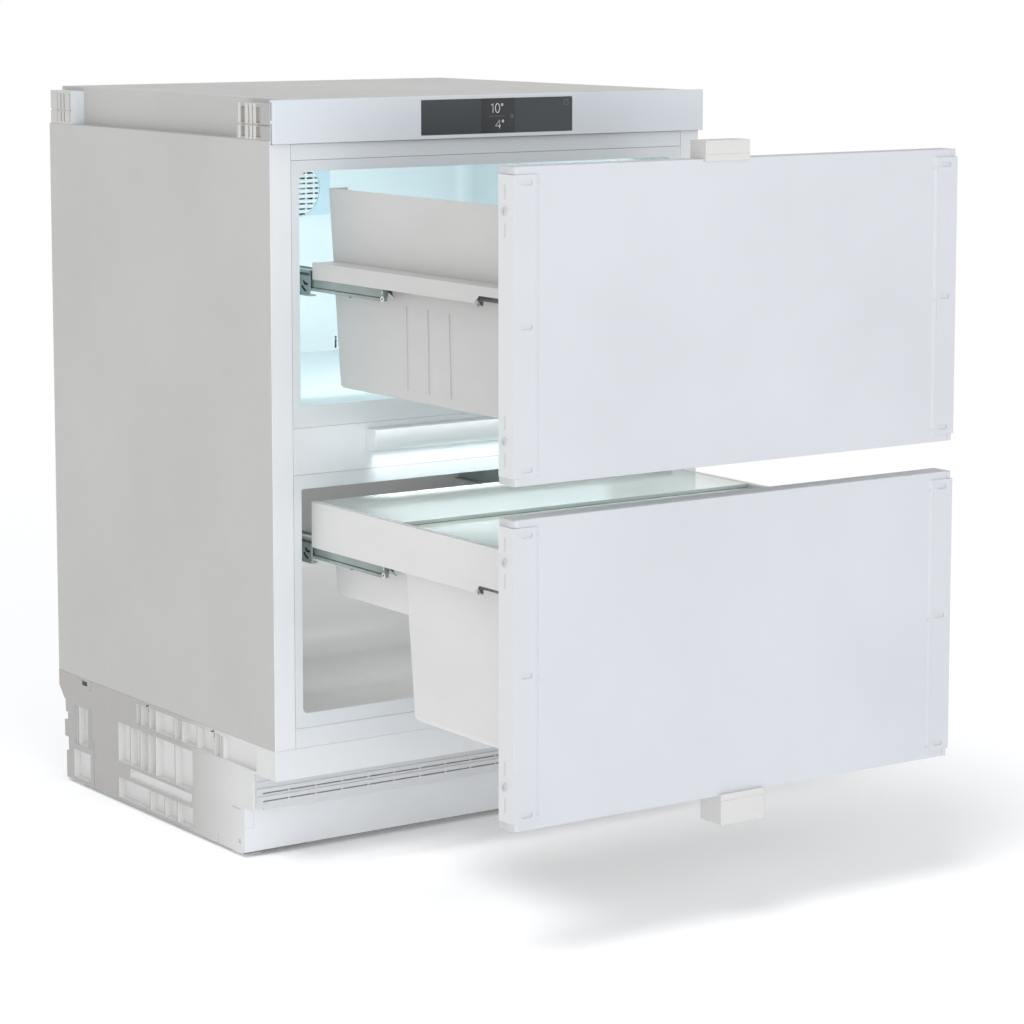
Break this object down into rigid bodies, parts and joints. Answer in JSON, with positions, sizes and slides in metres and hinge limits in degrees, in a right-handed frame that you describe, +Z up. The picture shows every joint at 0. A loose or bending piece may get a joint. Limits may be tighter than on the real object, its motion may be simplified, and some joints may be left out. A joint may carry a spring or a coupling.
{
  "type": "undercounter drawer refrigerator",
  "caption": "Built-in undercounter refrigerator with full-extension drawers on telescopic slides, fan cooling, a machine compartment in the base and door rails for furniture fronts.",
  "frame": {"origin": "on the floor under the middle of the whole outline, with both drawers fully out", "axes": "+X to the right seen from the front, +Y from the door fronts to the cabinet's rear, +Z up"},
  "size_m": [0.597, 1.0076, 0.8735],
  "materials": {
    "case_paint": "satin powder coat, light warm grey",
    "front_paint": "satin paint, cool near white",
    "door_paint": "satin paint, pale grey",
    "upper_liner_plastic": "smooth liner plastic, lit pale cyan",
    "lower_liner_plastic": "smooth liner plastic, light grey",
    "drawer_plastic": "fine textured moulding, light grey",
    "base_plastic": "moulded plastic, light grey",
    "insulation": "rigid foam, cream",
    "lamp_lens_plastic": "frosted light cover",
    "display_plastic": "smooth black window",
    "board": "green circuit board",
    "fan_plastic": "black moulded plastic",
    "coil_aluminium": "bare fins",
    "black_paint": "semi-gloss black",
    "rubber_black": "matt black",
    "copper_tube": "copper tube",
    "galvanised_steel": "galvanised sheet",
    "slide_steel": "zinc plated steel, slightly green",
    "dark_steel": "dark grey coated steel",
    "foot_plastic": "moulded plastic, off white",
    "seal_rubber": "soft magnetic seal, off white",
    "clear_glass": "clear safety glass with ground edges"
  },
  "bodies": {
    "cabinet": {"left_side_panel": "case_paint", "right_side_panel": "case_paint", "rear_panel": "case_paint", "machine_room_cover": "case_paint", "insulation_foam": "insulation", "upper_liner": "upper_liner_plastic", "lower_liner": "lower_liner_plastic", "front_rails": "front_paint", "middle_panel": "front_paint", "lamp_housing": "front_paint", "lamp_lens": "lamp_lens_plastic", "top_cover": "case_paint", "head_fascia": "front_paint", "display_window": "display_plastic", "control_board": "board", "corner_spacers": "base_plastic", "air_duct_cover": "upper_liner_plastic", "circulation_fan_frame": "drawer_plastic", "evaporator": "coil_aluminium", "interior_light": "lamp_lens_plastic", "compressor": "black_paint", "compressor_mounts": "rubber_black", "condenser": "black_paint", "condenser_fan_frame": "fan_plastic", "refrigerant_lines": "copper_tube", "drip_tray": "base_plastic", "base_frame": "base_plastic", "left_base_side": "base_plastic", "right_base_side": "base_plastic", "base_plate": "galvanised_steel", "air_grille": "base_plastic", "plinth_panel": "base_plastic", "power_inlet": "fan_plastic", "cabinet_slides": "slide_steel"},
    "circulation_fan": {"circulation_fan_rotor": "drawer_plastic"},
    "condenser_fan": {"condenser_fan_rotor": "fan_plastic"},
    "foot_front_left": {"foot_front_left": "foot_plastic"},
    "foot_front_right": {"foot_front_right": "foot_plastic"},
    "foot_rear_left": {"foot_rear_left": "foot_plastic"},
    "foot_rear_right": {"foot_rear_right": "foot_plastic"},
    "upper_middle": {"upper_middle_slides": "slide_steel"},
    "lower_middle": {"lower_middle_slides": "slide_steel"},
    "upper_drawer": {"upper_tub": "drawer_plastic", "upper_slide_covers": "drawer_plastic", "upper_drawer_slides": "dark_steel", "upper_door_panel": "door_paint", "upper_door_inner": "drawer_plastic", "upper_door_gasket": "seal_rubber", "upper_door_rails": "door_paint", "upper_rail_screws": "door_paint", "upper_fitting_aid": "drawer_plastic"},
    "lower_drawer": {"lower_tub": "drawer_plastic", "lower_drawer_slides": "dark_steel", "lower_door_panel": "door_paint", "lower_door_inner": "drawer_plastic", "lower_door_gasket": "seal_rubber", "lower_door_rails": "door_paint", "lower_rail_screws": "door_paint", "lower_fitting_aid": "drawer_plastic", "glass_cover": "clear_glass"}
  },
  "joints": [
    {"name": "upper_drawer_slide", "type": "slide", "parent": "cabinet", "child": "upper_drawer", "axis": [0, 1, 0], "range_m": [0, 0.4264]},
    {"name": "upper_middle_slide", "type": "slide", "parent": "cabinet", "child": "upper_middle", "axis": [0, 1, 0], "range_m": [0, 0.2132]},
    {"name": "lower_drawer_slide", "type": "slide", "parent": "cabinet", "child": "lower_drawer", "axis": [0, 1, 0], "range_m": [0, 0.4264]},
    {"name": "lower_middle_slide", "type": "slide", "parent": "cabinet", "child": "lower_middle", "axis": [0, 1, 0], "range_m": [0, 0.2132]},
    {"name": "circulation_fan_spin", "type": "hinge", "parent": "cabinet", "child": "circulation_fan", "pos_m": [0, 0.41825, 0.74], "axis": [0, 1, 0], "continuous": true},
    {"name": "condenser_fan_spin", "type": "hinge", "parent": "cabinet", "child": "condenser_fan", "pos_m": [-0.12, 0.19775, 0.0685], "axis": [0, 1, 0], "continuous": true},
    {"name": "foot_front_left_thread", "type": "hinge", "parent": "cabinet", "child": "foot_front_left", "pos_m": [-0.278, 0.06275, 0], "axis": [0, 0, 1], "continuous": true},
    {"name": "foot_front_right_thread", "type": "hinge", "parent": "cabinet", "child": "foot_front_right", "pos_m": [0.278, 0.06275, 0], "axis": [0, 0, 1], "continuous": true},
    {"name": "foot_rear_left_thread", "type": "hinge", "parent": "cabinet", "child": "foot_rear_left", "pos_m": [-0.278, 0.45175, 0], "axis": [0, 0, 1], "continuous": true},
    {"name": "foot_rear_right_thread", "type": "hinge", "parent": "cabinet", "child": "foot_rear_right", "pos_m": [0.278, 0.45175, 0], "axis": [0, 0, 1], "continuous": true}
  ],
  "couplings": [
    {"joint": "upper_middle_slide", "follows": "upper_drawer_slide", "ratio": 0.5},
    {"joint": "lower_middle_slide", "follows": "lower_drawer_slide", "ratio": 0.5}
  ]
}
